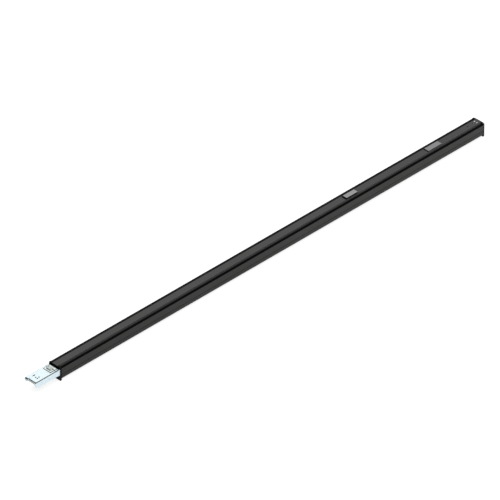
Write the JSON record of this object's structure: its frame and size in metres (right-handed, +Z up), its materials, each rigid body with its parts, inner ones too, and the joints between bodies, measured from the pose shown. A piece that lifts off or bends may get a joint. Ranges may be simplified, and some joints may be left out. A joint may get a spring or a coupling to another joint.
{
  "type": "lighting trunking rail",
  "caption": "Long black steel trunking rail for lights: open underneath, a raised band between grooves on top, a plated coupler at one end and a socket at the other.",
  "frame": {"origin": "middle of the whole length and width, on the floor under the end clips", "axes": "+X along the rail from the coupler to the open socket end, -Y the front, +Z up"},
  "size_m": [2.6394, 0.066, 0.07],
  "materials": {
    "rail_coating": "fine-textured black powder coat",
    "zinc_sheet": "bright galvanised",
    "zinc_block": "zinc-plated",
    "zinc_screw": "bright zinc-plated",
    "clip_plastic": "moulded, matte black",
    "seal_foam": "closed-cell foam, black",
    "marker_grey": "satin grey film"
  },
  "bodies": {
    "root": {"trunking_rail": "rail_coating", "coupler_channel": "zinc_sheet", "clamp_plate": "zinc_sheet", "threaded_block": "zinc_block", "tip_insert": "clip_plastic", "joint_seal": "seal_foam", "end_clip_coupler_side": "clip_plastic", "end_clip_socket_side": "clip_plastic", "fixing_screw_1": "zinc_screw", "fixing_screw_2": "zinc_screw", "marker_plate_a": "marker_grey", "marker_plate_b": "marker_grey"}
  },
  "joints": []
}
